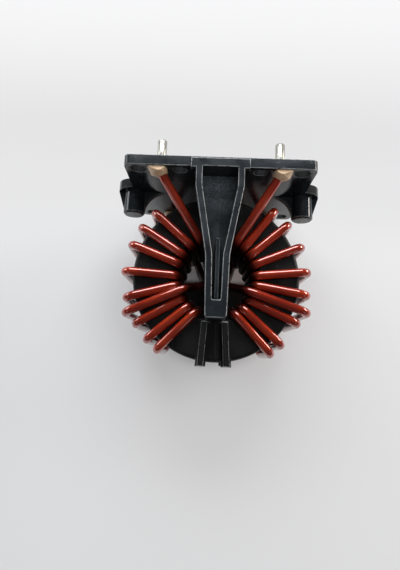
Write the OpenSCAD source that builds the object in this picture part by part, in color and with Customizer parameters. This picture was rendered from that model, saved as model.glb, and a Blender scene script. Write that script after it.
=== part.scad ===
// Two-winding toroidal inductor on a moulded header.
// A ring core in a two-part case stands upright on a mounting plate. Two clamp arms grip the
// case through its barrier ribs, and one thick enamelled wire is wound on each half of the ring.
// Millimetres. The origin is the middle of the plate's underside, +Z points up to the ring,
// the ring's axis lies along Y, and the front is towards -Y.

/* [Core] */
// Outer diameter of the ring core
core_od = 34; // [30:0.5:36]
// Inner diameter of the ring core
core_id = 20.5; // [19:0.5:22]
// Height of the ring core along its axis
core_h = 12.5; // [10:0.5:14]

/* [Core case] */
// Wall of the case
case_wall = 1.1; // [0.9:0.1:1.4]
// Radial play of the core in the case
core_play = 0.05; // [0.02:0.01:0.2]
// Rounding of the outer edges of the case
case_edge = 0.9; // [0.4:0.1:1]
// Depth of the lip where the two halves overlap
lip_depth = 1.2; // [0.6:0.1:2]
// Clearance at that lip
lip_gap = 0.1; // [0.05:0.05:0.2]
// Width of a barrier rib
rib_w = 1.25; // [1:0.05:1.6]
// Clearance between the wire and what bears on the ribs
rib_clear = 0.15; // [0.1:0.05:0.4]
// How far the ribs run out past the rim
rib_past_rim = 0.9; // [0.5:0.1:1.5]
// Distance of a rib from the middle at the edge of the hole
rib_x = 1.45; // [1.2:0.05:1.7]
// Angle at which each rib splays outwards
rib_splay = 3.8; // [0:0.2:6]
// Fillet at the foot of a rib
rib_foot = 0.5; // [0.2:0.1:0.7]

/* [Wire] */
// Diameter of the enamelled wire
wire_d = 1.9; // [1.6:0.05:2]
// Gap left between the wire and what it lies on
lay_gap = 0.05; // [0.02:0.01:0.1]
// How far the turns stand off the rim of the case
rim_gap = 0.8; // [0.4:0.1:1]
// Length of wire taken up by each bend
bend_len = 2.1; // [1.5:0.1:2.3]
// Angle from the base at which the start of a winding enters the hole
lead_angle = 24; // [23.5:0.5:25]
// Angle from the base of the last turn in the hole
last_angle = 153; // [151:0.5:154]

/* [Pins] */
// Diameter of the tinned wire ends
pin_d = 2; // [1.8:0.05:2.2]
// Length of the pins under the plate
pin_len = 4.3; // [3:0.1:6]
// Distance between the pins along X
pin_pitch_x = 25; // [24:0.5:26]
// Distance of the rows of pins and holes from the plate's front and rear edges
row_inset = 2.5; // [2.2:0.1:3]
// Radial clearance of a pin in the plate
pin_clear = 0.2; // [0.15:0.05:0.3]
// Bevel at the cut end of a pin
pin_bevel = 0.2; // [0.1:0.05:0.4]
// Radius of a front adhesive bead, square to its wire
bead_r = 2.1; // [1.7:0.05:2.3]
// Radius of a rear adhesive bead, square to its wire
rear_bead_r = 1.5; // [1.4:0.05:2.2]
// Height of an adhesive bead along its wire
bead_h = 1.7; // [1.4:0.1:2.4]
// Height of the steep edge round a bead
bead_edge = 0.3; // [0.1:0.1:0.6]
// Height over the plate at which a wire leans over
lean_h = 0.7; // [0.5:0.1:1]

/* [Plate] */
// Width of the mounting plate along X
plate_w = 40.2; // [39:0.2:44]
// Depth of the mounting plate along Y
plate_d = 32.5; // [32:0.5:36]
// Thickness of the mounting plate
plate_t = 2.2; // [1.8:0.1:3]
// Rounding of the plate's corners
plate_corner = 1.3; // [0.5:0.1:2]
// Diameter of the holes at the plate's corners
corner_hole_d = 3.3; // [2.5:0.1:3.6]
// Distance between the corner holes along X
corner_pitch_x = 34.5; // [34:0.1:35]
// Diameter of the spare wire holes
spare_hole_d = 2.9; // [2:0.1:3.2]
// Distance between the spare wire holes along X
spare_pitch_x = 17; // [16.5:0.1:17.5]
// Height of the ring's axis over the plate
axis_h = 21.5; // [21.5:0.1:24]

/* [Screw bosses] */
// Radius of an ear, which is centred on the plate's side
ear_r = 3.8; // [3.3:0.1:4.5]
// Diameter of a screw boss
boss_d = 5; // [4.4:0.1:5.6]
// Height of a screw boss over the plate
boss_h = 5.6; // [4.5:0.1:6.5]
// Bevel round the closed end of a boss
boss_bevel = 0.4; // [0.2:0.1:0.8]
// Diameter of the pilot hole in a boss
pilot_d = 2.1; // [1.8:0.1:2.6]
// Material left at the closed end of the pilot hole
pilot_floor = 1.2; // [0.8:0.1:2]
// Thickness of the web and the gusset beside a boss
web_t = 1.4; // [1:0.1:2]

/* [Clamp arms] */
// Half the width of an arm at its root
arm_root_w = 5; // [4.6:0.1:5.4]
// Half the width of an arm at its neck
arm_neck_w = 2.45; // [2.3:0.05:2.6]
// Half the width of an arm at its end
arm_end_w = 2.15; // [2:0.05:2.3]
// Height over the plate at which an arm starts to narrow
arm_taper_h = 4; // [3:0.1:5]
// Height over the plate of an arm's neck
arm_neck_h = 18.4; // [17:0.1:19]
// Length of an arm over the plate
arm_len = 31; // [30.8:0.1:33]
// How far an arm stands proud of the plate's edge
arm_proud = 0.3; // [0.1:0.1:0.6]
// Wall round an arm's pocket
arm_wall = 1.35; // [1.2:0.05:1.45]
// Floor of an arm's pocket
arm_floor = 1.9; // [0.8:0.1:2.4]
// Solid length at the end of an arm
arm_tip = 3.5; // [2.5:0.1:4.5]
// Rounding of an arm's end
arm_corner = 0.6; // [0.3:0.1:1]
// Half the width of the bar across an arm's root
root_bar_w = 6.1; // [5.6:0.1:7]
// Set-back of that bar from the plate's underside
root_bar_set = 0.4; // [0.2:0.1:0.8]
// Width of the stiffening rib in an arm's channel
spine_w = 0.8; // [0.6:0.05:1.05]
// Length of that rib
spine_len = 12.5; // [9:0.1:14]
// Set-back of that rib from the arm's outer face
spine_set = 0.4; // [0.2:0.1:1.2]
// Half the width of the lug that reaches into the ring's hole
lug_w = 1.5; // [1:0.1:1.6]
// Depth of that lug
lug_depth = 3.6; // [2.5:0.1:4.5]
// Height of that lug
lug_h = 2.4; // [1.5:0.1:3]
// Clearance of the lug from the case
lug_clear = 0.15; // [0.1:0.05:0.4]

/* [Hidden] */
$fn = 64;
EPS = 0.01;
// How far a cut runs out past the faces it opens
CUT = 1;
WIRE_SIDES = 10;
BEND_STEPS = 4;
ARC_STEPS = 6;

case_r = core_od/2 + core_play + case_wall;
hole_r = core_id/2 - core_play - case_wall;
case_half = core_h/2 + case_wall;
axis_z = plate_t + axis_h;

// Ribs stand a little taller than the wire, so that the arms clear the turns
rib_h = wire_d + lay_gap + rib_clear;
rib_end_r = case_r + rib_past_rim;
arm_in = case_half + rib_h;
arm_out = plate_d/2 + arm_proud;
seat_z = axis_z - rib_end_r;
seat_w = rib_x + rib_end_r*tan(rib_splay) + rib_w;

pin_x = pin_pitch_x/2;
pin_y = plate_d/2 - row_inset;
pin_r = pin_d/2;
boss_x = plate_w/2;
boss_r = boss_d/2;
boss_top = plate_t + boss_h;

// The wire's own radius, and the lines on which its middle lies round the case
wire_r = wire_d/2;
lay_in = hole_r - wire_r - lay_gap;
lay_out = case_r + wire_r + rim_gap;
lay_face = case_half + wire_r + lay_gap;
lay_over = lay_face + wire_d + lay_gap;
lean_z = plate_t + lean_h;
// A bore that clears the faceted wire, whichever way its facets lie
bore_r = wire_r/cos(180/WIRE_SIDES) + EPS;

// Share of the way from the first to the last turn at which each turn lies, by hand as wound.
// The turn numbered TOP_TURN goes on last and lies over its neighbours.
TOP_TURN = 5;
OUTER_RIGHT = [0, 0.13, 0.26, 0.44, 0.61, 0.70, 0.79, 0.91, 1];
OUTER_LEFT = [0, 0.12, 0.28, 0.44, 0.58, 0.68, 0.76, 0.92, 1];
FIRST_OUTER_RIGHT = 45;
FIRST_OUTER_LEFT = 39;
LAST_OUTER = 143;
// Share of the slack in the hole that is used up before each pass through it
SLACK_RIGHT = [0, 0.10, 0.32, 0.38, 0.58, 0.60, 0.98, 0.99, 1];
SLACK_LEFT = [0, 0, 0.01, 0.04, 0.19, 0.22, 0.94, 0.97, 1];
// The left winding starts this much higher in the hole
LEAD_LEFT_MORE = 4;
// Angle at which the turn on top goes into the hole
TOP_ANGLE = 114;
// Largest share of a straight run that the bend at one of its ends takes up
BEND_SHARE = 0.46;

// Small vector helpers
function unit(v) = v/norm(v);
function mix(a, b, t) = a + (b - a)*t;

// Points of an arc that rounds the corner at p, between its neighbours a and b
function corner_arc(a, p, b, r) =
    let (u = unit(a - p), v = unit(b - p), half = acos(u*v)/2)
    let (centre = p + unit(u + v)*r/sin(half))
    let (from = p + u*r/tan(half) - centre, to = p + v*r/tan(half) - centre)
    [for (k = [0:ARC_STEPS]) centre + r*unit(mix(from, to, k/ARC_STEPS))];

// An outline with the corners rounded that have a radius
function rounded(points, radii) =
    let (n = len(points))
    [for (i = [0:n - 1])
        let (a = points[(i + n - 1) % n], b = points[(i + 1) % n])
        each radii[i] > 0 ? corner_arc(a, points[i], b, radii[i]) : [points[i]]];

// A flat outline in X and Z, made solid from y_from backwards to y_to
module upright(y_from, y_to) {
    translate([0, y_to, 0])
        rotate([90, 0, 0])
            linear_extrude(y_to - y_from)
                children();
}

// Base: plate, ears, bosses, webs, clamp arms and the seat between them, in one moulding
module plate_outline() {
    w = plate_w/2;
    d = plate_d/2;
    polygon(rounded([[-w, -d], [w, -d], [w, d], [-w, d]], [for (i = [0:3]) plate_corner]));
}

// Screw boss with its ear, its straight outer gusset and its arched inner web
module boss() {
    translate([boss_x, 0, 0]) {
        cylinder(r = ear_r, h = plate_t);
        rotate_extrude()
            polygon([[0, 0], [boss_r, 0], [boss_r, boss_top - boss_bevel],
                     [boss_r - boss_bevel, boss_top], [0, boss_top]]);
    }
    upright(-web_t/2, web_t/2)
        polygon([[boss_x, plate_t - EPS], [boss_x + ear_r, plate_t - EPS],
                 [boss_x + boss_r - boss_bevel, boss_top - boss_bevel], [boss_x, boss_top - boss_bevel]]);
    upright(-web_t/2, web_t/2)
        arched_web_outline();
}

// Quarter arch from the boss's end down to the plate
module arched_web_outline() {
    rise = boss_h - boss_bevel;
    inner = boss_x - boss_r;
    centre = [inner - rise, plate_t + rise];
    arch = [for (k = [0:2*ARC_STEPS])
        let (a = 90*k/(2*ARC_STEPS))
        centre + rise*[cos(a), -sin(a)]];
    polygon(concat(arch, [[centre[0], plate_t - EPS], [boss_x, plate_t - EPS], [boss_x, plate_t + rise]]));
}

// Half the width of an arm at a height over the plate
function arm_w(h) =
    h < arm_taper_h ? arm_root_w :
    h < arm_neck_h ? mix(arm_root_w, arm_neck_w, (h - arm_taper_h)/(arm_neck_h - arm_taper_h)) :
    mix(arm_neck_w, arm_end_w, (h - arm_neck_h)/(arm_len - arm_neck_h));

// Outline of an arm, drawn in by inset, from a height over the plate to another
function arm_outline(inset, from_h, to_h, corner) =
    let (heights = [from_h, arm_taper_h, arm_neck_h, to_h])
    let (right = [for (h = heights) [arm_w(h) - inset, plate_t + h]])
    let (left = [for (i = [3:-1:0]) [inset - arm_w(heights[i]), plate_t + heights[i]]])
    rounded(concat(right, left), [0, 0, 0, corner, corner, 0, 0, 0]);

module arm() {
    pocket_end = arm_len - arm_tip;
    difference() {
        union() {
            upright(-arm_out, -arm_in)
                polygon(arm_outline(0, -EPS, arm_len, arm_corner));
            translate([-root_bar_w, -arm_out, root_bar_set])
                cube([2*root_bar_w, arm_out - plate_d/2 + plate_corner, plate_t + arm_proud - root_bar_set]);
        }
        upright(-arm_out - CUT, -arm_in - arm_floor)
            polygon(arm_outline(arm_wall, 0, pocket_end, arm_corner/2));
    }
    translate([-spine_w/2, spine_set - arm_out, plate_t + pocket_end - spine_len])
        cube([spine_w, arm_out - spine_set - arm_in - arm_floor/2, spine_len + arm_tip/2]);
    arm_lug();
}

// Lug behind the arm that keeps the ring from lifting: it reaches into the hole over the case
module arm_lug() {
    sag = hole_r - sqrt(hole_r*hole_r - lug_w*lug_w);
    translate([-lug_w, -arm_in - EPS, axis_z - hole_r + sag + lug_clear])
        cube([2*lug_w, lug_depth, lug_h]);
}

module seat() {
    translate([-seat_w, -arm_in - EPS, plate_t - EPS])
        cube([2*seat_w, 2*arm_in + 2*EPS, seat_z - plate_t + EPS]);
}

// Repeats its children at the four corners of a rectangle
module at_corners(x, y) {
    for (sx = [-1, 1], sy = [-1, 1])
        translate([sx*x, sy*y, 0])
            children();
}

module base() {
    color("#2b3036")
        difference() {
            union() {
                linear_extrude(plate_t)
                    plate_outline();
                seat();
                for (turn = [0, 180])
                    rotate([0, 0, turn]) {
                        boss();
                        arm();
                    }
            }
            at_corners(pin_x, pin_y)
                translate([0, 0, -CUT])
                    cylinder(r = pin_r + pin_clear, h = plate_t + 2*CUT);
            at_corners(corner_pitch_x/2, pin_y)
                translate([0, 0, -CUT])
                    cylinder(d = corner_hole_d, h = plate_t + 2*CUT);
            at_corners(spare_pitch_x/2, pin_y)
                translate([0, 0, -CUT])
                    cylinder(d = spare_hole_d, h = plate_t + 2*CUT);
            for (side = [-1, 1])
                translate([side*boss_x, 0, -CUT])
                    cylinder(d = pilot_d, h = boss_top - pilot_floor + CUT);
        }
}

// Core case: two shells that meet in the middle, each with its share of the barrier ribs
// Cross-section of a half, as distance from the axis and height over the middle
function shell_outline(lip) =
    let (cavity_in = core_id/2 - core_play, cavity_out = core_od/2 + core_play, mid_wall = case_wall/2)
    let (lip_side = lip > 0 ? mid_wall - lip_gap/2 : mid_wall + lip_gap/2)
    let (lip_end = lip > 0 ? -lip_depth : lip_depth + lip_gap)
    rounded([[case_r, 0], [case_r, case_half], [hole_r, case_half], [hole_r, 0], [cavity_in, 0],
             [cavity_in, core_h/2], [cavity_out, core_h/2], [cavity_out, lip_end],
             [cavity_out + lip_side, lip_end], [cavity_out + lip_side, 0]],
            [0, case_edge, case_edge, 0, 0, 0, 0, 0, 0, 0]);

// Cross-section of a rib on the front face, with a fillet at each foot
function rib_outline() =
    let (w = rib_w/2, f = rib_foot, sink = case_wall/3)
    let (foot = [for (k = [0:ARC_STEPS])
        let (a = 90*k/ARC_STEPS)
        [w + f - f*sin(a), -f + f*cos(a)]])
    concat([[w + f, sink]], foot, [[w, -rib_h], [-w, -rib_h]],
           [for (i = [ARC_STEPS:-1:0]) [-foot[i][0], foot[i][1]]], [[-w - f, sink]]);

// One rib, over the front face and round the rim to the middle of the case
module rib() {
    reach = rib_end_r - hole_r;
    intersection() {
        union() {
            translate([rib_x, -case_half, hole_r - rib_end_r/2])
                rotate([0, rib_splay, 0])
                    translate([0, 0, rib_end_r/2 - CUT])
                        linear_extrude(reach + 2*CUT)
                            polygon(rib_outline());
            translate([rib_x, -case_half - EPS, hole_r - rib_end_r/2])
                rotate([0, rib_splay, 0])
                    translate([-rib_w/2, 0, rib_end_r/2 + case_r - hole_r - case_wall/2])
                        cube([rib_w, case_half + EPS, reach]);
        }
        translate([0, -arm_in, hole_r + case_edge/2])
            cube([case_r, arm_in, rib_end_r - hole_r - case_edge/2]);
    }
}

module half_case(lip) {
    translate([0, 0, axis_z]) {
        rotate([90, 0, 0])
            rotate_extrude($fn = 128)
                polygon(shell_outline(lip));
        for (turn = [0, 180], side = [0, 1])
            rotate([0, turn, 0])
                mirror([side, 0, 0])
                    rib();
    }
}

module case_front() {
    color("#24282c")
        half_case(1);
}

module case_rear() {
    color("#24282c")
        rotate([0, 0, 180])
            half_case(-1);
}

module ferrite_core() {
    bevel = case_wall/2;
    color("#4a4a4c")
        translate([0, core_h/2, axis_z])
            rotate([90, 0, 0])
                rotate_extrude($fn = 128)
                    polygon([[core_id/2 + bevel, 0], [core_od/2 - bevel, 0], [core_od/2, bevel],
                             [core_od/2, core_h - bevel], [core_od/2 - bevel, core_h],
                             [core_id/2 + bevel, core_h], [core_id/2, core_h - bevel], [core_id/2, bevel]]);
}

// Windings
// A point round the ring: angle from the base, to the right for side 1 and to the left for side -1
function round_ring(side, r, angle, y) = [side*r*sin(angle), y, axis_z - r*cos(angle)];

// Angle of a pass through the hole: the wires lie side by side, with the slack shared out by hand
function inner_angle(i, lead, slack) =
    let (pitch = 2*asin((wire_r + lay_gap/2)/lay_in))
    let (spare = last_angle - lead - (len(slack) - 1)*pitch)
    lead + i*pitch + spare*slack[i];

// Where a lead starts in its pin, leans over above the plate, and meets the ring
function foot_point(side, end) = [side*pin_x, end*pin_y, -wire_r];
function lean_point(side, end) = [side*pin_x, end*pin_y, lean_z];
function lead_angle_of(side) = side > 0 ? lead_angle : lead_angle + LEAD_LEFT_MORE;
function lead_corner(side, end) =
    end < 0 ? round_ring(side, lay_in, lead_angle_of(side), -lay_face) :
    [side*(arm_neck_w + wire_d), lay_over + lay_gap, axis_z - hole_r + 1.5*wire_d];

// The corners that a winding turns round, from its front pin to its rear pin
function winding_corners(side, outer, first_outer, slack) =
    let (lower = [for (i = [0:len(outer) - 1]) if (i != TOP_TURN) mix(first_outer, LAST_OUTER, outer[i])])
    let (top = mix(first_outer, LAST_OUTER, outer[TOP_TURN]))
    let (last = len(slack) - 1)
    concat(
        [foot_point(side, -1), lean_point(side, -1)],
        // The first layer: into the hole, along the back, round the rim and over the front
        [for (i = [0:last - 1])
            let (a = inner_angle(i, lead_angle_of(side), slack))
            each [round_ring(side, lay_in, a, -lay_face), round_ring(side, lay_in, a, lay_face),
                  round_ring(side, lay_out, lower[i], lay_face), round_ring(side, lay_out, lower[i], -lay_face)]],
        // The last pass goes back over the others to the turn that lies on top
        [round_ring(side, lay_in, last_angle, -lay_face),
         round_ring(side, lay_in, last_angle, lay_over),
         round_ring(side, lay_out + wire_r, top, lay_over),
         round_ring(side, lay_out + wire_r, top, -lay_face - wire_r/3),
         round_ring(side, lay_in - wire_r, TOP_ANGLE, -lay_over + wire_r/2)],
        // It crosses the hole beside the middle and leaves at the back as the rear lead
        [[side*(wire_d + lay_gap), -case_half/3, axis_z + wire_d/2],
         [side*(arm_neck_w + wire_d/2), case_half, axis_z - 1.5*wire_d],
         lead_corner(side, 1), lean_point(side, 1), foot_point(side, 1)]);

// A path that takes each corner in a bend
function bent_path(corners) =
    let (last = len(corners) - 1)
    [for (i = [0:last])
        each i == 0 || i == last ? [corners[i]] :
            let (a = corners[i - 1] - corners[i], b = corners[i + 1] - corners[i])
            let (from = unit(a)*min(bend_len, BEND_SHARE*norm(a)), to = unit(b)*min(bend_len, BEND_SHARE*norm(b)))
            [for (k = [0:BEND_STEPS])
                let (t = k/BEND_STEPS)
                corners[i] + from*(1 - t)*(1 - t) + to*t*t]];

// Direction of a path at a point
function heading(path, i) = unit(path[min(i + 1, len(path) - 1)] - path[max(i - 1, 0)]);

// A side direction at every point that turns as little as it can along the path
function side_directions(path) =
    [for (i = 0, s = [1, 0, 0]; i < len(path); i = i + 1,
          s = i < len(path) ? let (h = heading(path, i)) unit(s - h*(s*h)) : s) s];

// A round wire along a path
module wire(path, r) {
    n = WIRE_SIDES;
    count = len(path);
    sides = side_directions(path);
    rings = [for (i = [0:count - 1])
        let (h = heading(path, i), s = sides[i], c = cross(h, s))
        each [for (k = [0:n - 1]) path[i] + r*(cos(360*k/n)*s + sin(360*k/n)*c)]];
    walls = [for (i = [0:count - 2], k = [0:n - 1])
        let (a = i*n + k, b = i*n + (k + 1) % n)
        each [[a, a + n, b], [b, a + n, b + n]]];
    polyhedron(rings, concat([[for (k = [0:n - 1]) k]], walls,
                             [[for (k = [n - 1:-1:0]) (count - 1)*n + k]]));
}

// Tinned end of a wire under the plate
module pin() {
    rotate_extrude()
        polygon([[0, -pin_len], [pin_r - pin_bevel, -pin_len], [pin_r, pin_bevel - pin_len], [pin_r, 0], [0, 0]]);
}

module winding(side, outer, first_outer, slack) {
    wire(bent_path(winding_corners(side, outer, first_outer, slack)), wire_r);
    for (end = [-1, 1])
        translate([side*pin_x, end*pin_y, 0])
            pin();
}

module winding_right() {
    color("#8c2b1a")
        winding(1, OUTER_RIGHT, FIRST_OUTER_RIGHT, SLACK_RIGHT);
}

module winding_left() {
    color("#8c2b1a")
        winding(-1, OUTER_LEFT, FIRST_OUTER_LEFT, SLACK_LEFT);
}

// Adhesive bead: a drop on the plate that has crept up the leaning wire
module bead(side, end) {
    r = end < 0 ? bead_r : rear_bead_r;
    lean = unit(lead_corner(side, end) - lean_point(side, end));
    collar = bore_r + wire_r/6;
    color("#b9976a")
        difference() {
            intersection() {
                translate(lean_point(side, end))
                    rotate([0, acos(lean[2]), atan2(lean[1], lean[0])])
                        rotate_extrude()
                            polygon([[0, -2*r], [r, -2*r], [r, bead_edge - lean_h], [collar, bead_h - lean_h],
                                     [0, bead_h - lean_h]]);
                translate([side*pin_x - 2*r, end*pin_y - 2*r, plate_t])
                    cube([4*r, 4*r, 2*bead_h]);
            }
            wire(bent_path([foot_point(side, end), lean_point(side, end), lead_corner(side, end)]), bore_r);
        }
}

module bead_front_right() {
    bead(1, -1);
}

module bead_front_left() {
    bead(-1, -1);
}

module bead_rear_right() {
    bead(1, 1);
}

module bead_rear_left() {
    bead(-1, 1);
}

base();
case_front();
case_rear();
ferrite_core();
winding_right();
winding_left();
bead_front_right();
bead_front_left();
bead_rear_right();
bead_rear_left();
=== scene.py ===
# %% [markdown]
# # Dressing a two-winding toroidal inductor
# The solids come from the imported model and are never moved. This lesson gives them their looks:
# two windings of thick enamelled wire, a black moulded header and core case with worn edges,
# drops of adhesive round the wires, and the white table on which the part was photographed.

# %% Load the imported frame
import math

import bmesh
import bpy
from mathutils import Matrix, Vector, noise


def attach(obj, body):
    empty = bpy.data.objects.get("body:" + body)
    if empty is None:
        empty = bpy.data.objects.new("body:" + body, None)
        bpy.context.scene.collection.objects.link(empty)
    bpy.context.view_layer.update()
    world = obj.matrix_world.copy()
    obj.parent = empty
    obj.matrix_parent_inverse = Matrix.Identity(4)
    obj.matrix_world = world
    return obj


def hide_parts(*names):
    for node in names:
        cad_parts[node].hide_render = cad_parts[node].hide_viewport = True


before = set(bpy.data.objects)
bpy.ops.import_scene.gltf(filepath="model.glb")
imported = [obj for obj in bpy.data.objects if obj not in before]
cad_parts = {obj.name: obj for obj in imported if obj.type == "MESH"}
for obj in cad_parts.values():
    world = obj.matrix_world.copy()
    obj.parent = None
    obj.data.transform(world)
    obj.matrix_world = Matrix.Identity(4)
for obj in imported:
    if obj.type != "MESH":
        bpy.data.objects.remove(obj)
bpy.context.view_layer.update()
MM = 0.001
print("nodes:", sorted(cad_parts))

# %% [markdown]
# ## Camera
# The photograph was taken from the front with the part lying on its back and its pins towards the
# top of the picture, so the camera is turned over: the picture's up is the part's down.
# Eye, angles and focal length were fitted to the plate, the pins and the ring, which is surer than
# placing a camera by eye.

# %% Photo camera
PHOTO_H = 570
EYE = Vector((1.790, -99.967, 40.951)) * MM
TILT, ROLL, TURN = -0.16597, 0.01705, 0.03874
FOCAL_PX = 434.23

untilted = Matrix(((-1, 0, 0), (0, 0, 1), (0, 1, 0)))
look = Matrix.Rotation(TURN, 3, "Z") @ Matrix.Rotation(ROLL, 3, "Y")
look = look @ Matrix.Rotation(TILT, 3, "X") @ untilted
camera = bpy.data.objects.new("photo_camera", bpy.data.cameras.new("photo_camera"))
bpy.context.scene.collection.objects.link(camera)
axes = Matrix((look[0], -look[1], -look[2])).transposed()
camera.matrix_world = Matrix.Translation(EYE) @ axes.to_4x4()
camera.data.sensor_fit = "VERTICAL"
camera.data.sensor_height = 36
camera.data.lens = FOCAL_PX * camera.data.sensor_height / PHOTO_H
camera.data.clip_start = 1 * MM
bpy.context.scene.camera = camera
print("camera lens, mm:", round(camera.data.lens, 2))

# %% [markdown]
# ## Node helpers
# Materials below are built from a few small calls: add a node, set its inputs by name, and join
# sockets. A value can be a number, a colour or another node's output.

# %% Add and join nodes
def put(tree, kind, settings=None, out=0, **inputs):
    """Adds a node and gives one of its outputs. An input goes by its label, or by its number
    after a _ where labels repeat."""
    node = tree.nodes.new(kind)
    for name, value in (settings or {}).items():
        setattr(node, name, value)
    for name, value in inputs.items():
        key = int(name[1:]) if name[0] == "_" else name.replace("_", " ")
        join(tree, value, node.inputs[key])
    return node.outputs[out]


def join(tree, value, socket):
    if isinstance(value, bpy.types.NodeSocket):
        tree.links.new(value, socket)
    else:
        socket.default_value = value


def new_material(name):
    material = bpy.data.materials.new(name)
    material.use_nodes = True
    tree = material.node_tree
    tree.nodes.clear()
    shader = tree.nodes.new("ShaderNodeBsdfPrincipled")
    surface = tree.nodes.new("ShaderNodeOutputMaterial").inputs["Surface"]
    tree.links.new(shader.outputs[0], surface)
    return material, tree, shader


print("node makers:", put.__name__, join.__name__, new_material.__name__)

# %% [markdown]
# ## Sums, ramps and places
# Most masks here say where on the part a finish changes. A mask is a smooth ramp over a length, and
# several are multiplied where all of them have to hold. Lengths are written in millimetres.

# %% Sums, ramps and places
def maths(tree, operation, a, b=0.0, clamp=False):
    return put(tree, "ShaderNodeMath", {"operation": operation, "use_clamp": clamp}, _0=a, _1=b)


def ramp(tree, value, low, high, to_low=0.0, to_high=1.0):
    return put(tree, "ShaderNodeMapRange", {"interpolation_type": "SMOOTHSTEP"},
               Value=value, From_Min=low, From_Max=high, To_Min=to_low, To_Max=to_high)


def fade(tree, length, none, full):
    """A mask that grows from 0 to 1 between two lengths in mm."""
    return ramp(tree, length, none * MM, full * MM)


def all_of(tree, *masks):
    whole = masks[0]
    for mask in masks[1:]:
        whole = maths(tree, "MULTIPLY", whole, mask)
    return whole


def opposite(tree, mask):
    return maths(tree, "SUBTRACT", 1.0, mask)


def blend_value(tree, share, a, b):
    return put(tree, "ShaderNodeMix", {"data_type": "FLOAT"}, _0=share, _2=a, _3=b)


def blend_colour(tree, share, a, b):
    return put(tree, "ShaderNodeMix", {"data_type": "RGBA"}, out=2, _0=share, _6=a, _7=b)


def speckle(tree, place, scale, detail=3.0, rough=0.55):
    return put(tree, "ShaderNodeTexNoise", out="Fac", Vector=place, Scale=scale, Detail=detail,
               Roughness=rough)


def object_place(tree):
    return put(tree, "ShaderNodeTexCoord", out="Object")


def surface_normal(tree):
    return put(tree, "ShaderNodeNewGeometry", out="Normal")


def along(tree, vector, axis):
    return put(tree, "ShaderNodeSeparateXYZ", out=axis, Vector=vector)


def either_side(tree, vector, axis):
    return maths(tree, "ABSOLUTE", along(tree, vector, axis))


def from_line(tree, place, height):
    """How far a place is from the line along Y that runs at this height over the plate's middle."""
    flat = put(tree, "ShaderNodeVectorMath", {"operation": "MULTIPLY"}, _0=place, _1=(1, 0, 1))
    return put(tree, "ShaderNodeVectorMath", {"operation": "DISTANCE"}, out="Value",
               _0=flat, _1=(0, 0, height * MM))


AXIS_Z = 23.7


def inside_hole(tree, place, radii, faces):
    """A mask for what lies in the ring's hole: near its axis and between its faces. Both fade in
    from the first to the second length of a pair."""
    return all_of(tree, fade(tree, from_line(tree, place, AXIS_Z), *radii),
                  fade(tree, either_side(tree, place, "Y"), *faces))


print("masks are in mm, the ring's axis is at", AXIS_Z)

# %% [markdown]
# ## Shared effects
# Handling leaves the same marks on every moulding: dust that settles in specks, thin scratches,
# and a mould's fine grain. Each is a shader group that puts out a mask or a height, so that each
# material can use it with its own values.

# %% Make and use a node group
def new_group(name, inputs, outputs):
    tree = bpy.data.node_groups.new(name, "ShaderNodeTree")
    sockets = tree.interface
    sockets.new_socket("Place", in_out="INPUT", socket_type="NodeSocketVector")
    for label, value in inputs.items():
        socket = sockets.new_socket(label, in_out="INPUT", socket_type="NodeSocketFloat")
        socket.default_value = value
    for label in outputs:
        sockets.new_socket(label, in_out="OUTPUT", socket_type="NodeSocketFloat")
    given = tree.nodes.new("NodeGroupInput").outputs
    return tree, given, tree.nodes.new("NodeGroupOutput").inputs


def use_group(tree, group, out, place, **inputs):
    node = tree.nodes.new("ShaderNodeGroup")
    node.node_tree = group
    join(tree, place, node.inputs["Place"])
    for label, value in inputs.items():
        join(tree, value, node.inputs[label.replace("_", " ")])
    return node.outputs[out]


print("group makers:", new_group.__name__, use_group.__name__)

# %% Dust, scratches and grain as node groups
LARGEST_SPECK, NO_SPECK = 0.34, 0.001
SCRATCH_WAYS = ((0.5, 0.05), (1.9, 0.04), (2.7, 0.06))
SCRATCH_WIDTH = 0.03


def settled_dust():
    """Round specks in a cell pattern, each as large as a slower noise allows."""
    sizes = {"Specks per metre": 900, "Amount": 0.5}
    tree, given, result = new_group("settled_dust", sizes, ["Mask"])
    cells = put(tree, "ShaderNodeTexVoronoi", {"feature": "F1"}, Vector=given["Place"],
                Scale=given["Specks per metre"], Randomness=1.0)
    size = ramp(tree, speckle(tree, given["Place"], scale=420.0, detail=2.0), 0.48, 0.78)
    reach = maths(tree, "ADD", maths(tree, "MULTIPLY", size, LARGEST_SPECK), NO_SPECK)
    speck = maths(tree, "SUBTRACT", 1.0, maths(tree, "DIVIDE", cells, reach), clamp=True)
    join(tree, maths(tree, "MULTIPLY", speck, given["Amount"]), result["Mask"])
    return tree


def thin_scratches():
    """The borders of long drawn cells, in a few directions and only in patches."""
    sizes = {"Scale": 300, "Amount": 0.5}
    tree, given, result = new_group("thin_scratches", sizes, ["Mask"])
    marks = 0.0
    for turn, stretch in SCRATCH_WAYS:
        turned = put(tree, "ShaderNodeMapping", Vector=given["Place"], Rotation=(0.3, turn, 0.2),
                     Scale=(1.0, 1.0, stretch))
        border = put(tree, "ShaderNodeTexVoronoi", {"feature": "DISTANCE_TO_EDGE"}, Vector=turned,
                     Scale=given["Scale"], Randomness=1.0)
        patches = ramp(tree, speckle(tree, turned, scale=260.0, detail=2.0), 0.56, 0.72)
        line = all_of(tree, ramp(tree, border, 0.0, SCRATCH_WIDTH, 1.0, 0.0), patches)
        marks = maths(tree, "MAXIMUM", marks, line)
    join(tree, maths(tree, "MULTIPLY", marks, given["Amount"]), result["Mask"])
    return tree


def mould_grain():
    """A fine grain for the relief, and broad patches for the tone and the gloss."""
    tree, given, result = new_group("mould_grain", {"Scale": 2500}, ["Height", "Patches"])
    fine = speckle(tree, given["Place"], given["Scale"], detail=2.0)
    broad = speckle(tree, given["Place"], scale=190.0, detail=4.0, rough=0.6)
    join(tree, fine, result["Height"])
    join(tree, broad, result["Patches"])
    return tree


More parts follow.
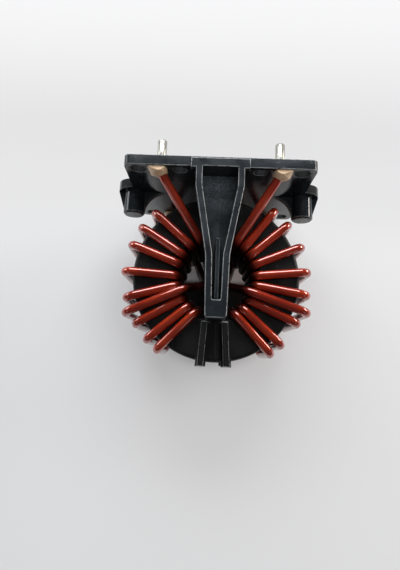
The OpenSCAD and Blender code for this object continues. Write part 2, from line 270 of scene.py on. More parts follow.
dust_group, scratch_group, grain_group = settled_dust(), thin_scratches(), mould_grain()
print("groups:", [g.name for g in bpy.data.node_groups])

# %% [markdown]
# ## Moulded plastic
# The header and the case are injection moulded in black plastic: satin, darker on the case, and
# worn to grey along the edges; on the case the pale edge colour is partly painted highlight. The
# header has zones of its own. Its plate is polished on the inside and mirrors the bosses, the bosses
# at its ends are glossy, and the floors of the arms' pockets carry painted light, a lighter grey
# near the root broken by grit. The walls of the holes get painted shade, near black and rough. The
# zones could be separate materials, but it is one moulding, so masks on the place and the normal
# choose between them. Edge wear, with the case's painted highlight, is read from an attribute that
# the rounded edges carry.

# %% Zones of the header
POCKET_PAINTED_LIGHT = (0.125, 0.145, 0.165, 1)
POCKET_HALF, POCKET_DEPTH, POCKET_LIGHT_HEIGHT = (5.5, 4.5), (12.5, 12.0), (11.0, 4.0)
PLATE_TOP, HOLES_BELOW, HOLES_X, HOLES_Y = 2.4, 2.15, 23.0, 15.2
GLOSSY_ENDS, END_ROUGHNESS, END_SMOOTHING = (19.5, 21.0), 0.13, 0.85
POLISH = (0.08, 0.14)
FACING, UPRIGHT = (0.9, 0.98), 0.5


def below(tree, length, limit):
    return maths(tree, "LESS_THAN", length, limit * MM)


def pocket_painted_light(tree, place):
    """A mask for the painted light on the floors of the arms' pockets: in the middle, facing front
    or back, broken by grit, and fading upwards."""
    grit = speckle(tree, place, scale=2600.0, detail=2.0, rough=0.6)
    return all_of(tree, ramp(tree, either_side(tree, surface_normal(tree), "Y"), *FACING),
                  fade(tree, either_side(tree, place, "Y"), *POCKET_DEPTH),
                  fade(tree, either_side(tree, place, "X"), *POCKET_HALF),
                  fade(tree, along(tree, place, "Z"), *POCKET_LIGHT_HEIGHT),
                  ramp(tree, grit, 0.34, 0.66, 0.35, 1.0))


def holes_painted_shade(tree, place):
    """A mask for the painted shade on the walls of the plate's holes: under its upper face, upright,
    and away from its rim."""
    upright = maths(tree, "LESS_THAN", either_side(tree, surface_normal(tree), "Z"), UPRIGHT)
    return all_of(tree, upright, below(tree, along(tree, place, "Z"), HOLES_BELOW),
                  below(tree, either_side(tree, place, "X"), HOLES_X),
                  below(tree, either_side(tree, place, "Y"), HOLES_Y))


def header_zones(tree, place, patches, base, rough, grain):
    """Makes the ends glossy and smooth, polishes the plate's upper face and paints light on the
    pockets' floors.
    """
    ends = fade(tree, either_side(tree, place, "X"), *GLOSSY_ENDS)
    rough = blend_value(tree, ends, rough, END_ROUGHNESS)
    grain = all_of(tree, grain, opposite(tree, maths(tree, "MULTIPLY", ends, END_SMOOTHING)))
    upper = all_of(tree, ramp(tree, along(tree, surface_normal(tree), "Z"), *FACING),
                   below(tree, along(tree, place, "Z"), PLATE_TOP))
    rough = blend_value(tree, upper, rough, ramp(tree, patches, 0.3, 0.7, *POLISH))
    # Painted light: a lighter grey on the pockets' floors near the root, broken by grit.
    base = blend_colour(tree, pocket_painted_light(tree, place), base, POCKET_PAINTED_LIGHT)
    return base, rough, grain


print("header zones: ends, plate, pockets, holes")

# %% Header and case plastics
DUST_GREY, HOLE_PAINTED_SHADE = (0.36, 0.37, 0.38, 1), (0.001, 0.001, 0.001, 1)
CASE_HOLE = dict(radii=(9.7, 9.2), faces=(8.5, 7.0))
HOLE_ROUGHNESS, DUST_ROUGHNESS, PATCH_TONE = 0.8, 0.3, 0.6
GRAIN_DEPTH = 0.04


def moulded_plastic(name, colour, edge_wear_highlight_colour, edge_mark_share, dust, scratches, roughness, gloss, relief,
                    is_header):
    material, tree, shader = new_material(name)
    place = object_place(tree)
    patches = use_group(tree, grain_group, "Patches", place)
    grain = use_group(tree, grain_group, "Height", place)
    specks = use_group(tree, dust_group, "Mask", place, Specks_per_metre=1100.0, Amount=dust)
    lines = use_group(tree, scratch_group, "Mask", place, Scale=330.0, Amount=scratches)
    edge_wear_and_highlight = put(tree, "ShaderNodeAttribute", {"attribute_name": "edge_wear_and_highlight_strip"}, out="Fac")
    chipped = ramp(tree, speckle(tree, place, scale=900.0, detail=4.0, rough=0.7), 0.30, 0.54)
    darker = tuple(PATCH_TONE * c for c in colour[:3]) + (1,)
    base = blend_colour(tree, ramp(tree, patches, 0.35, 0.65), darker, colour)
    rough = ramp(tree, patches, 0.3, 0.7, roughness - 0.07, roughness + 0.09)
    if is_header:
        base, rough, grain = header_zones(tree, place, patches, base, rough, grain)
        painted_shade = holes_painted_shade(tree, place)
    else:
        painted_shade = inside_hole(tree, place, **CASE_HOLE)
    # Painted shade: the walls of the plate's holes, and of the case's hole, are painted near black
    # and made rough.
    base = blend_colour(tree, painted_shade, base, HOLE_PAINTED_SHADE)
    rough = maths(tree, "MAXIMUM", rough, maths(tree, "MULTIPLY", painted_shade, HOLE_ROUGHNESS))
    # Worn edges turn grey; on the case the pale edge colour is partly painted highlight on rib edges
    # that lie in shade.
    base = blend_colour(tree, all_of(tree, edge_wear_and_highlight, chipped, edge_mark_share), base, edge_wear_highlight_colour)
    base = blend_colour(tree, maths(tree, "MAXIMUM", specks, lines), base, DUST_GREY)
    rough = maths(tree, "ADD", rough, maths(tree, "MULTIPLY", specks, DUST_ROUGHNESS))
    bump = put(tree, "ShaderNodeBump", Strength=relief, Distance=GRAIN_DEPTH * MM, Height=grain)
    join(tree, base, shader.inputs["Base Color"])
    join(tree, rough, shader.inputs["Roughness"])
    join(tree, bump, shader.inputs["Normal"])
    shader.inputs["Specular IOR Level"].default_value = gloss
    return material


header_plastic = moulded_plastic(
    "header_plastic", colour=(0.016, 0.021, 0.026, 1), edge_wear_highlight_colour=(0.32, 0.33, 0.33, 1),
    edge_mark_share=0.9, dust=0.4, scratches=0.04, roughness=0.32, gloss=0.5, relief=0.6, is_header=True)
# The case's pale edge colour is partly painted highlight: it lightens the ribs' edges in the arm's
# shadow.
case_plastic = moulded_plastic(
    "case_plastic", colour=(0.012, 0.012, 0.012, 1), edge_wear_highlight_colour=(0.60, 0.61, 0.62, 1),
    edge_mark_share=0.9, dust=0.2, scratches=0.06, roughness=0.38, gloss=0.25, relief=0.25,
    is_header=False)
print("plastics:", header_plastic.name, case_plastic.name)

# %% [markdown]
# ## Enamelled copper and its tinned ends
# Winding wire is copper under a clear red-brown enamel: deep red in the shade, with long white
# glints. In the ring's hole it gets a painted shade: near black and without its coat. The ends are
# stripped and dipped in solder. The change from one to the other lies in the plate's holes, so the
# height over the plate can choose between them.

# %% Wire finish
ENAMEL_DARK, ENAMEL_LIGHT = (0.30, 0.018, 0.004, 1), (0.44, 0.036, 0.008, 1)
SOLDER_DARK, SOLDER_LIGHT = (0.38, 0.37, 0.33, 1), (0.70, 0.68, 0.62, 1)
WIRE_PAINTED_SHADE, WIRE_SHADE_SHARE = (0.008, 0.003, 0.003, 1), 0.95
WIRE_HOLE = dict(radii=(9.5, 7.7), faces=(10.8, 9.6))
TINNED_BELOW = (0.6, 0.2)
ENAMEL_METALLIC, ENAMEL_WOBBLE, WIRE_RELIEF = 0.5, 0.1, 0.06


def wire_finish():
    material, tree, shader = new_material("enamelled_wire")
    place = object_place(tree)
    tinned = fade(tree, along(tree, place, "Z"), *TINNED_BELOW)
    # Painted shade: in the ring's hole the enamel is painted near black and its coat is left off.
    painted_shade = maths(tree, "MULTIPLY", inside_hole(tree, place, **WIRE_HOLE), WIRE_SHADE_SHARE)
    tone = speckle(tree, place, scale=160.0)
    drawn = put(tree, "ShaderNodeMapping", Vector=place, Scale=(1.0, 1.0, 0.12))
    smear = speckle(tree, drawn, scale=2600.0)
    enamel = blend_colour(tree, ramp(tree, tone, 0.3, 0.7), ENAMEL_DARK, ENAMEL_LIGHT)
    enamel = blend_colour(tree, painted_shade, enamel, WIRE_PAINTED_SHADE)
    solder = blend_colour(tree, ramp(tree, smear, 0.35, 0.7), SOLDER_DARK, SOLDER_LIGHT)
    rough = blend_value(tree, tinned, ramp(tree, tone, 0.3, 0.7, 0.28, 0.38),
                        ramp(tree, smear, 0.3, 0.7, 0.30, 0.48))
    wobble = maths(tree, "MULTIPLY", speckle(tree, place, scale=900.0, detail=2.0), ENAMEL_WOBBLE)
    uneven = maths(tree, "ADD", wobble, maths(tree, "MULTIPLY", smear, tinned))
    bump = put(tree, "ShaderNodeBump", Strength=0.35, Distance=WIRE_RELIEF * MM, Height=uneven)
    join(tree, blend_colour(tree, tinned, enamel, solder), shader.inputs["Base Color"])
    join(tree, maths(tree, "MAXIMUM", tinned, ENAMEL_METALLIC), shader.inputs["Metallic"])
    join(tree, rough, shader.inputs["Roughness"])
    coated = opposite(tree, maths(tree, "MAXIMUM", tinned, painted_shade))
    join(tree, coated, shader.inputs["Coat Weight"])
    join(tree, bump, shader.inputs["Normal"])
    shader.inputs["Specular IOR Level"].default_value = 0.1
    shader.inputs["Coat Roughness"].default_value = 0.04
    shader.inputs["Coat IOR"].default_value = 2.0
    return material


enamelled_wire = wire_finish()
print("wire finish:", enamelled_wire.name)

# %% [markdown]
# ## Windings
# Each winding is one length of wire, laid by hand: out of the front pin, through the hole, round
# the ring eight times, back over the turn that lies on top, across the hole and out to the rear
# pin. The corners repeat the solid's own values; every corner is rounded, and a Geometry Nodes
# tree draws the round wire along the path, with a thickness for each point.

# %% The wire's path
WIRE_R, LAY_GAP, RIM_GAP, BEND_LEN = 0.95, 0.05, 0.8, 2.1
BEND_STEPS, BEND_SHARE = 12, 0.46
CASE_R, HOLE_R, CASE_HALF, PLATE_T = 18.15, 9.1, 7.35, 2.2
ARM_NECK, LEAN_Z = 2.45, 2.9
PIN_X, PIN_Y, PIN_R, PIN_LEN, PIN_BEVEL = 12.5, 13.75, 1.0, 4.3, 0.2
PIN_TOP, PIN_END, PIN_NECK = -0.4, -0.05, 0.98
LAY_IN = HOLE_R - WIRE_R - LAY_GAP
LAY_OUT = CASE_R + WIRE_R + RIM_GAP
LAY_FACE = CASE_HALF + WIRE_R + LAY_GAP
LAY_OVER = LAY_FACE + 2 * WIRE_R + LAY_GAP
LAST_INNER, LAST_OUTER, TOP_TURN, TOP_INNER = 153, 143, 5, 114
WINDINGS = {
    "winding_right": dict(side=1, lead=24, first=45,
                          outer=(0, 0.13, 0.26, 0.44, 0.61, 0.70, 0.79, 0.91, 1),
                          slack=(0, 0.10, 0.32, 0.38, 0.58, 0.60, 0.98, 0.99, 1)),
    "winding_left": dict(side=-1, lead=28, first=39,
                         outer=(0, 0.12, 0.28, 0.44, 0.58, 0.68, 0.76, 0.92, 1),
                         slack=(0, 0, 0.01, 0.04, 0.19, 0.22, 0.94, 0.97, 1)),
}


def round_ring(side, r, angle, y):
    a = math.radians(angle)
    return Vector((side * r * math.sin(a), y, AXIS_Z - r * math.cos(a)))


def winding_corners(side, lead, first, outer, slack):
    """Where the wire would turn if it were laid in straight lines, from the front pin to the rear
    one. Turns are spread over the rim by outer, and the room left over in the hole by slack."""
    pitch = math.degrees(2 * math.asin((WIRE_R + LAY_GAP / 2) / LAY_IN))
    last = len(slack) - 1
    spare = LAST_INNER - lead - last * pitch
    rim = [first + (LAST_OUTER - first) * share for share in outer]
    top = rim.pop(TOP_TURN)
    corners = []
    for i in range(last):
        a = lead + i * pitch + spare * slack[i]
        corners += [round_ring(side, LAY_IN, a, -LAY_FACE), round_ring(side, LAY_IN, a, LAY_FACE)]
        corners += [round_ring(side, LAY_OUT, rim[i], y) for y in (LAY_FACE, -LAY_FACE)]
    corners += [
        round_ring(side, LAY_IN, LAST_INNER, -LAY_FACE),
        round_ring(side, LAY_IN, LAST_INNER, LAY_OVER),
        round_ring(side, LAY_OUT + WIRE_R, top, LAY_OVER),
        round_ring(side, LAY_OUT + WIRE_R, top, -LAY_FACE - WIRE_R / 3),
        round_ring(side, LAY_IN - WIRE_R, TOP_INNER, WIRE_R / 2 - LAY_OVER),
        Vector((side * (2 * WIRE_R + LAY_GAP), -CASE_HALF / 3, AXIS_Z + WIRE_R)),
        Vector((side * (ARM_NECK + WIRE_R), CASE_HALF, AXIS_Z - 3 * WIRE_R)),
        Vector((side * (ARM_NECK + 2 * WIRE_R), LAY_OVER + LAY_GAP, AXIS_Z - HOLE_R + 3 * WIRE_R)),
    ]
    lean = [Vector((side * PIN_X, end * PIN_Y, LEAN_Z)) for end in (-1, 1)]
    foot = [Vector((side * PIN_X, end * PIN_Y, 0)) for end in (-1, 1)]
    return [foot[0], lean[0]] + corners + [lean[1], foot[1]]


def bent_path(corners):
    """The points between the two feet, with every corner rounded."""
    path = []
    for before, corner, after in zip(corners, corners[1:], corners[2:]):
        a, b = before - corner, after - corner
        a *= min(BEND_LEN / a.length, BEND_SHARE)
        b *= min(BEND_LEN / b.length, BEND_SHARE)
        for k in range(BEND_STEPS + 1):
            path.append(corner + a * (1 - k / BEND_STEPS) ** 2 + b * (k / BEND_STEPS) ** 2)
    return path


def pin_points(foot):
    profile = ((-PIN_LEN, PIN_R - PIN_BEVEL), (PIN_BEVEL - PIN_LEN, PIN_R),
               (PIN_TOP, PIN_R), (PIN_END, PIN_NECK))
    return [(Vector((foot.x, foot.y, z)), r) for z, r in profile]


def wire_points(lay):
    """The whole path with its radii, from one pin's end to the other's."""
    corners = winding_corners(**lay)
    middle = [(p, WIRE_R) for p in bent_path(corners)]
    return pin_points(corners[0]) + middle + pin_points(corners[-1])[::-1]


wire_paths = {node: wire_points(lay) for node, lay in WINDINGS.items()}
for node, path in wire_paths.items():
    length = sum((b[0] - a[0]).length for a, b in zip(path, path[1:]))
    print(node, "points:", len(path), "wire, mm:", round(length))

# %% A Geometry Nodes tree that draws a wire along a path
WIRE_SIDES = 24


def wire_tree():
    tree = bpy.data.node_groups.new("wire_along_path", "GeometryNodeTree")
    sockets = {}
    tree.interface.new_socket("Path", in_out="INPUT", socket_type="NodeSocketGeometry")
    for label, kind in (("Wire radius", "NodeSocketFloat"), ("Sides", "NodeSocketInt"),
                        ("Finish", "NodeSocketMaterial")):
        sockets[label] = tree.interface.new_socket(label, in_out="INPUT", socket_type=kind)
    sockets["Wire radius"].default_value = WIRE_R * MM
    sockets["Sides"].default_value = WIRE_SIDES
    tree.interface.new_socket("Wire", in_out="OUTPUT", socket_type="NodeSocketGeometry")
    given = tree.nodes.new("NodeGroupInput").outputs
    thick = put(tree, "GeometryNodeInputNamedAttribute", {"data_type": "FLOAT"}, Name="thickness")
    line = put(tree, "GeometryNodeMeshToCurve", Mesh=given["Path"])
    line = put(tree, "GeometryNodeSetCurveRadius", Curve=line, Radius=thick)
    ring = put(tree, "GeometryNodeCurvePrimitiveCircle",
               Resolution=given["Sides"], Radius=given["Wire radius"])
    sweep = put(tree, "GeometryNodeCurveToMesh", Curve=line, Profile_Curve=ring, Fill_Caps=True,
                Scale=put(tree, "GeometryNodeInputRadius"))
    smooth = put(tree, "GeometryNodeSetShadeSmooth", Geometry=sweep, Shade_Smooth=True)
    real = put(tree, "GeometryNodeRealizeInstances", Geometry=smooth)
    done = put(tree, "GeometryNodeSetMaterial", Geometry=real, Material=given["Finish"])
    join(tree, done, tree.nodes.new("NodeGroupOutput").inputs[0])
    return tree, {label: socket.identifier for label, socket in sockets.items()}


def solid_from(obj, tree, values):
    """Runs a Geometry Nodes tree on obj and keeps the result as a plain mesh."""
    modifier = obj.modifiers.new(tree.name, "NODES")
    modifier.node_group = tree
    for identifier, value in values.items():
        modifier[identifier] = value
    evaluated = obj.evaluated_get(bpy.context.evaluated_depsgraph_get())
    mesh = bpy.data.meshes.new_from_object(evaluated)
    obj.modifiers.remove(modifier)
    obj.data = mesh


def link_mesh(name, points, edges=(), faces=()):
    mesh = bpy.data.meshes.new(name)
    mesh.from_pydata([tuple(p) for p in points], list(edges), list(faces))
    obj = bpy.data.objects.new(name, mesh)
    bpy.context.scene.collection.objects.link(obj)
    return obj


along_path, socket_of = wire_tree()
print("tree:", along_path.name, "inputs:", list(socket_of))

# %% Draw both windings
for node, path in wire_paths.items():
    steps = [(i, i + 1) for i in range(len(path) - 1)]
    wire = link_mesh("wire_" + node, [p * MM for p, _ in path], steps)
    thickness = wire.data.attributes.new("thickness", "FLOAT", "POINT")
    thickness.data.foreach_set("value", [r / WIRE_R for _, r in path])
    solid_from(wire, along_path, {socket_of["Wire radius"]: WIRE_R * MM,
                                  socket_of["Sides"]: WIRE_SIDES,
                                  socket_of["Finish"]: enamelled_wire})
    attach(wire, "root")
    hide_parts(node)
    print(wire.name, "faces:", len(wire.data.polygons))

# %% [markdown]
# ## Rounded, worn mouldings
# A moulding has no knife edges. A copy of each solid gets its convex edges rounded by a fraction
# A copy of each solid gets its convex edges rounded by a fraction
# of a millimetre, which is what catches the light, and the new strips carry the attribute for wear,
# which on the case also places a painted highlight.
# by where they lie: wear is strong at the front and rear, where hands and tools touch, and weak in
# sheltered places.

# %% Shade flats flat and rounds round
SAME_CURVE = math.cos(math.radians(48))


def shade_by_area(mesh):
    """Each corner takes the mean normal, by area, of the faces round it that turn little."""
    around = [[] for _ in mesh.vertices]
    sides = [(face.normal.copy(), face.area) for face in mesh.polygons]
    for face in mesh.polygons:
        for v in face.vertices:
            around[v].append(sides[face.index])
    normals = []
    for face in mesh.polygons:
        own = sides[face.index][0]
        for v in face.vertices:
            near = (n * area for n, area in around[v] if n.dot(own) > SAME_CURVE)
            normals.append(sum(near, Vector()).normalized())
    mesh.shade_smooth()
    mesh.normals_split_custom_set(normals)


print("faces shade as one curve up to, degrees:", round(math.degrees(math.acos(SAME_CURVE))))

# %% Round and wear the convex edges of a moulding
SHARP_EDGE, ALONG_Y = math.radians(35), 0.9
SQUARE_ON, FACES_DOWN = 0.985, -0.4
OUTER_BAND, SHELTERED_WEAR = 1.5, 0.3
SPINE_HALF, SPINE_SIDE = 0.5, 0.2
SAME_POINT = 1e-6


def turn_of(edge):
    return edge.calc_face_angle_signed(0) if len(edge.link_faces) == 2 else 0


def stands_on_floor(edge):
    """True for an edge along Y that ends in an inner corner, where rounding would bend the floor."""
    line = edge.verts[1].co - edge.verts[0].co
    if abs(line.y) < ALONG_Y * line.length:
        return False
    return any(turn_of(other) < -SHARP_EDGE for v in edge.verts for other in v.link_edges)


def wear_of(face, reach, worn_below):
    """Full wear on the outermost strips, less on sheltered ones and on the sides of the arm's
    spine. Strips that lie square to an axis are left out, and on the case those that face down."""
    if max(abs(c) for c in face.normal) >= SQUARE_ON:
        return 0.0
    if not worn_below and face.normal.z <= FACES_DOWN:
        return 0.0
    spot = face.calc_center_median()
    on_spine = abs(spot.x) < SPINE_HALF * MM and abs(face.normal.x) > SPINE_SIDE
    outer = abs(spot.y) > reach - OUTER_BAND * MM and not on_spine
    return 1.0 if outer else SHELTERED_WEAR


def moulded_copy(name, node, width, finish, worn_below):
    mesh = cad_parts[node].data.copy()
    mesh.name = name
    bm = bmesh.new()
    bm.from_mesh(mesh)
    bmesh.ops.remove_doubles(bm, verts=bm.verts, dist=SAME_POINT)
    edges = [e for e in bm.edges if turn_of(e) > SHARP_EDGE and not stands_on_floor(e)]
    wear = bm.faces.layers.float.new("edge_wear_and_highlight_strip")
    made = bmesh.ops.bevel(bm, geom=edges, offset=width * MM, segments=2, profile=0.5,
                           affect="EDGES", clamp_overlap=False, loop_slide=True)
    reach = max(abs(v.co.y) for v in bm.verts)
    for face in made["faces"]:
        face[wear] = wear_of(face, reach, worn_below)
    bmesh.ops.triangulate(bm, faces=[f for f in bm.faces if len(f.verts) > 4])
    bm.to_mesh(mesh)
    bm.free()
    shade_by_area(mesh)
    mesh.materials.clear()
    mesh.materials.append(finish)
    obj = bpy.data.objects.new(name, mesh)
    bpy.context.scene.collection.objects.link(obj)
    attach(obj, "root")
    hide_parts(node)
    print(name, "edges rounded:", len(edges), "faces:", len(mesh.polygons))
    return obj


HEADER_EDGE, CASE_EDGE = 0.15, 0.18
header = moulded_copy("header_moulding", "base", HEADER_EDGE, header_plastic, worn_below=True)
for half in ("front", "rear"):
    shell = moulded_copy("case_half_" + half, "case_" + half, CASE_EDGE, case_plastic,
                         worn_below=False)

# %% [markdown]
# ## Adhesive drops and the core
# A drop of beige adhesive seals each wire where it leaves the plate. It has crept up the wire, and
# spread towards the plate's edge, where it stops. The bead's solid is softened into such a drop: an
# even grid, many passes of smoothing, slow noise for lumps, and then the spread. The ring core is
# closed in by its case and only needs a plain sintered finish.

# %% Adhesive and ferrite finishes
def adhesive_finish():
    material, tree, shader = new_material("adhesive")
    tone = speckle(tree, object_place(tree), scale=700.0, detail=4.0)
    colour = blend_colour(tree, ramp(tree, tone, 0.3, 0.7),
                          (0.66, 0.45, 0.28, 1), (0.84, 0.63, 0.43, 1))
    bump = put(tree, "ShaderNodeBump", Strength=0.3, Distance=0.1 * MM, Height=tone)
    join(tree, colour, shader.inputs["Base Color"])
    join(tree, ramp(tree, tone, 0.3, 0.7, 0.30, 0.48), shader.inputs["Roughness"])
    join(tree, bump, shader.inputs["Normal"])
    shader.inputs["Subsurface Weight"].default_value = 0.15
    shader.inputs["Subsurface Radius"].default_value = (1.0 * MM, 0.6 * MM, 0.3 * MM)
    return material


def ferrite_finish():
    material, tree, shader = new_material("ferrite")
    grit = speckle(tree, object_place(tree), scale=3000.0, detail=4.0)
    colour = blend_colour(tree, grit, (0.03, 0.03, 0.032, 1), (0.10, 0.10, 0.105, 1))
    bump = put(tree, "ShaderNodeBump", Strength=0.4, Distance=0.05 * MM, Height=grit)
    join(tree, colour, shader.inputs["Base Color"])
    join(tree, ramp(tree, grit, 0.3, 0.7, 0.55, 0.75), shader.inputs["Roughness"])
    join(tree, bump, shader.inputs["Normal"])
    return material


adhesive = adhesive_finish()
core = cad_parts["ferrite_core"]
core.data.materials.clear()
core.data.materials.append(ferrite_finish())
print("finishes:", adhesive.name, core.data.materials[0].name)

# %% Soften a bead into a drop
DROP_GRID, SMOOTH_PASSES, DROP_LUMP, LUMPS_PER_MM = 0.09, 18, 0.16, 0.7
SPREAD_X, SPREAD_Y, SPREAD_TOP = -0.06, 0.2, 1.4
DROP_SLUMP, PLATE_EDGE = 0.8, 15.9


def softened(name, node):
    """A copy of the bead on an even grid, smoothed."""
    drop = bpy.data.objects.new(name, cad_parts[node].data.copy())
    bpy.context.scene.collection.objects.link(drop)
    bm = bmesh.new()
    bm.from_mesh(drop.data)
    bmesh.ops.remove_doubles(bm, verts=bm.verts, dist=SAME_POINT)
    bm.to_mesh(drop.data)
    bm.free()
    grid = drop.modifiers.new("even_grid", "REMESH")
    grid.mode = "VOXEL"
    grid.voxel_size = DROP_GRID * MM
    soften = drop.modifiers.new("soften", "SMOOTH")
    soften.factor = 0.5
    soften.iterations = SMOOTH_PASSES
    depsgraph = bpy.context.evaluated_depsgraph_get()
    mesh = bpy.data.meshes.new_from_object(drop.evaluated_get(depsgraph))
    drop.modifiers.clear()
    drop.data = mesh
    return drop


def spread_over_plate(mesh):
    """Adds lumps and spreads the drop from its pin, most at the plate but not past its edge."""
    edge = PLATE_EDGE * MM
    pin_x = math.copysign(PIN_X * MM, sum(v.co.x for v in mesh.vertices))
    pin_y = math.copysign(PIN_Y * MM, sum(v.co.y for v in mesh.vertices))
    for v in mesh.vertices:
        lump = DROP_LUMP * noise.noise(v.co / MM * LUMPS_PER_MM)
        moved = v.co + v.normal * lump * MM
        high = max(0, moved.z / MM - PLATE_T)
        low = max(0, 1 - high / SPREAD_TOP)
        x = pin_x + (moved.x - pin_x) * (1 + SPREAD_X * low)
        y = pin_y + (moved.y - pin_y) * (1 + SPREAD_Y * low)
        v.co = (x, max(-edge, min(edge, y)), (PLATE_T + high * DROP_SLUMP) * MM)


for place in ("front_right", "front_left", "rear_right", "rear_left"):
    drop = softened("adhesive_" + place, "bead_" + place)
    spread_over_plate(drop.data)
    drop.data.shade_smooth()
    drop.data.materials.clear()
    drop.data.materials.append(adhesive)
    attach(drop, "root")
    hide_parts("bead_" + place)
    print(drop.name, "faces:", len(drop.data.polygons))

# %% [markdown]
# ## Table and floor
# The photograph's white table lies behind the part, so it is a sheet that only shows from the
# front. A pale floor lies under the pins for the other views. Both are white to the camera and to
# reflections, keep a soft shadow, and let the lamps' light through. The floor's front half is left
# out of reflections, where it would hide the window and the walls from the wires and the bosses.

# %% White sheets that keep a shadow
SHADE_BEHIND_RING, SHADE_BEHIND_PLATE, PLATE_MIDDLE = (22, 10), (22, 14), 12
PAINTED_SHADOW_FROM, PAINTED_SHADOW_DEPTH = (-4.2, -2.2), 0.98
FAINT_BLUE = 1.01


def shadow_of_part(tree, place, shade, share):
    """Behind the ring and the plate only real light counts. Near the ring's middle and above it a
    shadow is painted on the sheet, close to black."""
    ring = fade(tree, from_line(tree, place, AXIS_Z), *SHADE_BEHIND_RING)
    plate = fade(tree, from_line(tree, place, PLATE_MIDDLE), *SHADE_BEHIND_PLATE)
    share = maths(tree, "MAXIMUM", share, maths(tree, "MAXIMUM", ring, plate))
    height = along(tree, place, "Z")
    # Painted shadow: the sheet is darkened near the ring's middle and above it.
    painted_shadow = all_of(tree, ring, fade(tree, height, *(AXIS_Z + z for z in PAINTED_SHADOW_FROM)))
    painted_shadow_factor = opposite(tree, maths(tree, "MULTIPLY", painted_shadow, PAINTED_SHADOW_DEPTH))
    return maths(tree, "MULTIPLY", shade, painted_shadow_factor), share


def stage_sheet(name, corners, axis, stops, rays, behind_part=False):
    """A white sheet, seen from its front only and by the named kinds of rays. Along one axis its
    painted light and shade, and its share of real shadow, change at (mm, shade, share) stops.
    Diffuse rays see plain white paint, which adds no light of its own."""
    sheet = link_mesh(name, [Vector(c) * MM for c in corners], (), [(0, 1, 2, 3)])
    material = bpy.data.materials.new(name)
    material.use_nodes = True
    tree = material.node_tree
    tree.nodes.clear()
    path = tree.nodes.new("ShaderNodeLightPath").outputs
    seen = path["Is Camera Ray"]
    for kind in rays:
        seen = maths(tree, "MAXIMUM", seen, path[f"Is {kind} Ray"])
    front = opposite(tree, put(tree, "ShaderNodeNewGeometry", out="Backfacing"))
    place = object_place(tree)
    where = along(tree, place, axis)
    _, shade, share = stops[0]
    for (low, _, _), (high, next_shade, next_share) in zip(stops, stops[1:]):
        step = fade(tree, where, low, high)
        shade = blend_value(tree, step, shade, next_shade)
        share = blend_value(tree, step, share, next_share)
    share = maths(tree, "MAXIMUM", share, path["Is Diffuse Ray"])
    if behind_part:
        shade, share = shadow_of_part(tree, place, shade, share)
    blue = maths(tree, "MULTIPLY", shade, FAINT_BLUE)
    colour = put(tree, "ShaderNodeCombineColor", Red=shade, Green=shade, Blue=blue)
    white = put(tree, "ShaderNodeEmission", Color=colour, Strength=1.0)
    lit = put(tree, "ShaderNodeBsdfDiffuse", Color=colour)
    shown = put(tree, "ShaderNodeMixShader", _0=share, _1=white, _2=lit)
    clear = put(tree, "ShaderNodeBsdfTransparent")
    mixed = put(tree, "ShaderNodeMixShader", _0=all_of(tree, seen, front), _1=clear, _2=shown)
    join(tree, mixed, tree.nodes.new("ShaderNodeOutputMaterial").inputs["Surface"])
    sheet.data.materials.append(material)
    print("stage:", sheet.name)


# %% Table and floor
FAR, TABLE_Y, FLOOR_Z, FLOOR_SPLIT = 400, 16.7, -PIN_LEN, 0
# Painted light: the floor is brighter towards the front, the table a little brighter upwards.
TABLE_STOPS = [(FLOOR_Z, 0.80, 0.0), (20, 0.81, 0.65), (90, 0.83, 0.5)]
FLOOR_STOPS = [(-60, 0.96, 0.0), (-18, 0.84, 0.1), (TABLE_Y, 0.80, 0.0)]
MIRRORED = ("Glossy", "Transmission")


def floor_strip(name, front, back, rays):
    corners = [(-FAR, front), (FAR, front), (FAR, back), (-FAR, back)]
    stage_sheet(name, [(x, y, FLOOR_Z) for x, y in corners], "Y", FLOOR_STOPS, rays)


table_corners = [(FAR, -FAR), (FAR, FAR), (-FAR, FAR), (-FAR, -FAR)]
stage_sheet("table_behind", [(x, TABLE_Y, z) for x, z in table_corners], "Z", TABLE_STOPS,
            MIRRORED + ("Diffuse",), behind_part=True)
floor_strip("floor", FLOOR_SPLIT, FAR, MIRRORED)
floor_strip("floor_front", -FAR, FLOOR_SPLIT, ())

# %% [markdown]
# ## Light
# A broad window beyond the pins gives the long glints on the wires. A ceiling and the room fill the
# shadows and stay out of reflections, the side walls draw the streaks on the bosses and pins, and
# the low walls a faint glint on the lowest turns. Two lamps behind the table light the rear for the
# other views. The world gives a little light, and to the camera alone it is a pale sky.

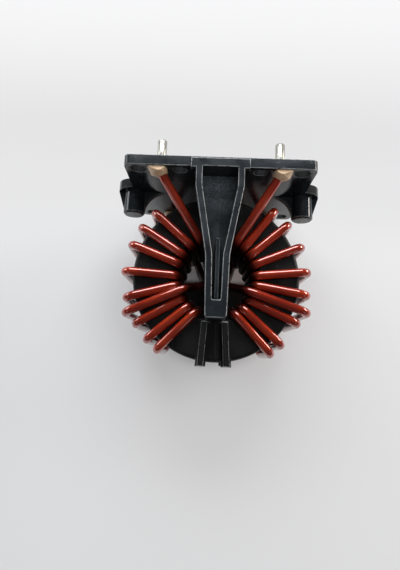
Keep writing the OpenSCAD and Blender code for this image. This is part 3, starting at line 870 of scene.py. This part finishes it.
# %% Lamps
RING = (0, 0, 22)
COOL, WARM, PLAIN, DAYLIGHT = (0.94, 0.97, 1.0), (1.0, 0.93, 0.86), (1, 1, 1), (0.93, 0.97, 1.0)
SIDES = ((1, COOL, (100, 140), 0.18), (-1, WARM, (40, 140), 0.36))


def soft_lamp(name, place, size, power, colour, mirrored=True):
    """A rectangular lamp that points at the ring; place and size in mm, power in watts."""
    lamp = bpy.data.lights.new(name, "AREA")
    lamp.shape = "RECTANGLE"
    lamp.size, lamp.size_y = (v * MM for v in size)
    lamp.energy = power
    lamp.color = colour
    obj = bpy.data.objects.new(name, lamp)
    obj.location = Vector(place) * MM
    obj.rotation_euler = (Vector(RING) - Vector(place)).to_track_quat("-Z", "Y").to_euler()
    obj.visible_glossy = mirrored
    bpy.context.scene.collection.objects.link(obj)


soft_lamp("window", (10, -130, -158), (230, 90), 0.52, DAYLIGHT)
soft_lamp("ceiling", (-70, -230, 0), (160, 160), 0.15, PLAIN, mirrored=False)
for side, tint, wall_size, wall_power in SIDES:
    soft_lamp("room", (side * 160, -190, 60), (220, 220), 0.05, tint, mirrored=False)
    soft_lamp("side_wall", (side * 250, -75, -95), wall_size, wall_power, tint)
    soft_lamp("low_wall", (side * 200, -128, 190), (60, 60), 0.012, tint)
    soft_lamp("back", (side * 230, 110, 30), (140, 140), 0.08, PLAIN)

print("lamps:", [l.name for l in bpy.data.lights])

# %% World and view
SKY_LIGHT, PALE_SKY = (0.95, 0.97, 1.0, 1), (0.80, 0.80, 0.81, 1)

world = bpy.data.worlds.new("room")
world.use_nodes = True
sky = world.node_tree
sky.nodes.clear()
light = put(sky, "ShaderNodeBackground", Color=SKY_LIGHT, Strength=0.05)
pale = put(sky, "ShaderNodeBackground", Color=PALE_SKY, Strength=1.0)
camera_only = sky.nodes.new("ShaderNodeLightPath").outputs["Is Camera Ray"]
seen_sky = put(sky, "ShaderNodeMixShader", _0=camera_only, _1=light, _2=pale)
join(sky, seen_sky, sky.nodes.new("ShaderNodeOutputWorld").inputs["Surface"])
bpy.context.scene.world = world
bpy.context.scene.view_settings.view_transform = "Standard"
print("world:", world.name, "view:", bpy.context.scene.view_settings.view_transform)
